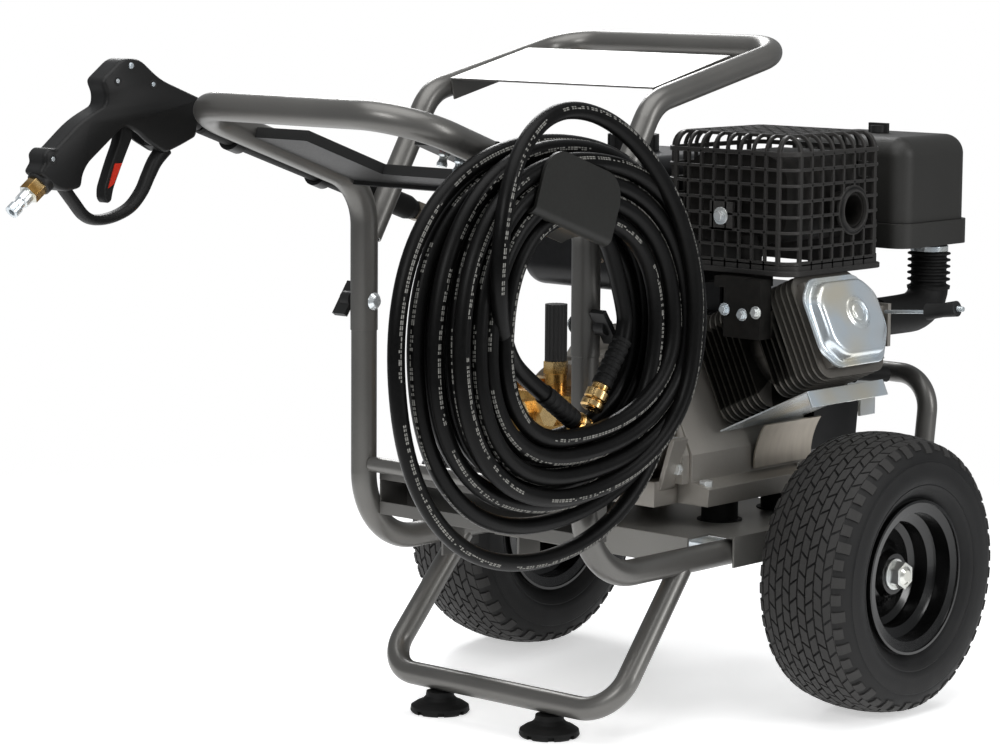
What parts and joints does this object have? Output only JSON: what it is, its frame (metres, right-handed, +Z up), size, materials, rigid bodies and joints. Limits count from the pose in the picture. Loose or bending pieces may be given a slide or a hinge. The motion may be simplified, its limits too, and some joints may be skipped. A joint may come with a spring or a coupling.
{
  "type": "pressure washer",
  "caption": "Petrol pressure washer on a wheeled tube frame with horizontal-shaft engine, axial pump, spray gun on its lance and a coiled high-pressure hose.",
  "frame": {"origin": "on the ground, under the middle of the machine without its hose", "axes": "+X to the cylinder side, +Y from the push handle towards the engine starter, +Z up"},
  "size_m": [0.6816, 1.1894, 0.7899],
  "materials": {
    "frame_paint": "satin",
    "black_plastic": "matte",
    "black_paint": "satin",
    "rim_paint": "gloss",
    "tyre_rubber": "matte",
    "black_rubber": "matte",
    "hose_rubber": "satin",
    "cast_alloy": "cast",
    "dark_casting": "cast",
    "cast_iron": "machined",
    "heat_black": "matte",
    "zinc": "zinc plated",
    "sheet_steel": "brushed",
    "brass": "machined",
    "steel": "satin",
    "tip_plastic": "gloss",
    "plug_boot": "matte",
    "filter_paper": "pleated"
  },
  "bodies": {
    "root": {"air_cleaner_base": "black_plastic", "air_cleaner_cover": "black_plastic", "air_deflector": "sheet_steel", "air_filter": "filter_paper", "axle": "zinc", "axle_nuts": "zinc", "blower_housing": "black_paint", "bolts": "zinc", "carburettor": "cast_alloy", "crankcase": "cast_alloy", "crankcase_cover": "cast_alloy", "cross_members": "frame_paint", "cylinder": "dark_casting", "cylinder_guide_plate": "zinc", "cylinder_head": "dark_casting", "engine_platform": "frame_paint", "frame_left": "frame_paint", "frame_right": "frame_paint", "front_leg": "frame_paint", "fuel_tank": "black_paint", "handle_loop": "frame_paint", "hose_coil": "hose_rubber", "hose_couplers": "brass", "hose_hanger": "black_paint", "hose_restrictors": "black_rubber", "hose_tail": "hose_rubber", "intake_boot": "black_rubber", "isolators": "black_rubber", "lance_clips": "black_paint", "muffler": "heat_black", "muffler_guard": "black_plastic", "nozzle_panel": "black_plastic", "nozzle_tips": "tip_plastic", "pump_body": "cast_alloy", "pump_head": "brass", "rear_bumper": "frame_paint", "recoil_starter": "black_paint", "rubber_feet": "black_rubber", "spark_plug": "plug_boot", "tray_frame": "frame_paint", "tray_plate": "frame_paint", "valve_cover": "zinc"},
    "wheel_left": {"tyre_left": "tyre_rubber", "rim_left": "rim_paint"},
    "wheel_right": {"tyre_right": "tyre_rubber", "rim_right": "rim_paint"},
    "crank": {"crankshaft": "cast_iron", "flywheel": "cast_iron"},
    "starter": {"starter_grip": "black_plastic"},
    "throttle": {"throttle_lever": "black_plastic"},
    "cap": {"fuel_cap": "black_plastic"},
    "cleaner_nut": {"air_cleaner_knob": "black_plastic"},
    "knob_left": {"handle_knob_left": "black_plastic"},
    "knob_right": {"handle_knob_right": "black_plastic"},
    "unloader": {"unloader_knob": "black_plastic"},
    "gun": {"gun_body": "black_plastic", "gun_inlet": "brass", "lance_tube": "steel", "lance_grip": "black_rubber"},
    "trigger": {"gun_trigger": "black_plastic"}
  },
  "joints": [
    {"name": "wheel_left_spin", "type": "hinge", "parent": "root", "child": "wheel_left", "pos_m": [-0.277, 0.3037, 0.165], "axis": [1, 0, 0], "continuous": true},
    {"name": "wheel_right_spin", "type": "hinge", "parent": "root", "child": "wheel_right", "pos_m": [0.277, 0.3037, 0.165], "axis": [1, 0, 0], "continuous": true},
    {"name": "crank_spin", "type": "hinge", "parent": "root", "child": "crank", "pos_m": [0, 0.3037, 0.352], "axis": [0, 1, 0], "continuous": true},
    {"name": "starter_pull", "type": "slide", "parent": "root", "child": "starter", "axis": [-0.8, 0, 0.6], "range_m": [0, 0.45], "stiffness_N_per_m": 40, "springref_m": -0.02},
    {"name": "throttle_swing", "type": "hinge", "parent": "root", "child": "throttle", "pos_m": [0.056, 0.4217, 0.474], "axis": [0, 0, 1], "range_deg": [-35, 35]},
    {"name": "fuel_cap_turn", "type": "hinge", "parent": "root", "child": "cap", "pos_m": [-0.12, 0.3237, 0.65], "axis": [0, 0, 1], "range_deg": [0, 120]},
    {"name": "cleaner_nut_turn", "type": "hinge", "parent": "root", "child": "cleaner_nut", "pos_m": [0.111, 0.5207, 0.67], "axis": [0, 0, 1], "continuous": true},
    {"name": "handle_knob_left_turn", "type": "hinge", "parent": "root", "child": "knob_left", "pos_m": [-0.196, -0.1037, 0.482], "axis": [1, 0, 0], "continuous": true},
    {"name": "handle_knob_right_turn", "type": "hinge", "parent": "root", "child": "knob_right", "pos_m": [0.196, -0.1037, 0.482], "axis": [1, 0, 0], "continuous": true},
    {"name": "unloader_turn", "type": "hinge", "parent": "root", "child": "unloader", "pos_m": [0.014, 0.0261, 0.44], "axis": [0, 0, 1], "range_deg": [-720, 720]},
    {"name": "lance_draw", "type": "slide", "parent": "root", "child": "gun", "axis": [0, -0.9449, 0.3272], "range_m": [0, 0.3]},
    {"name": "trigger_squeeze", "type": "hinge", "parent": "gun", "child": "trigger", "pos_m": [-0.215, -0.4323, 0.7], "axis": [-1, 0, 0], "range_deg": [0, 11], "stiffness_Nm_per_rad": 2, "springref_deg": -14.32}
  ]
}
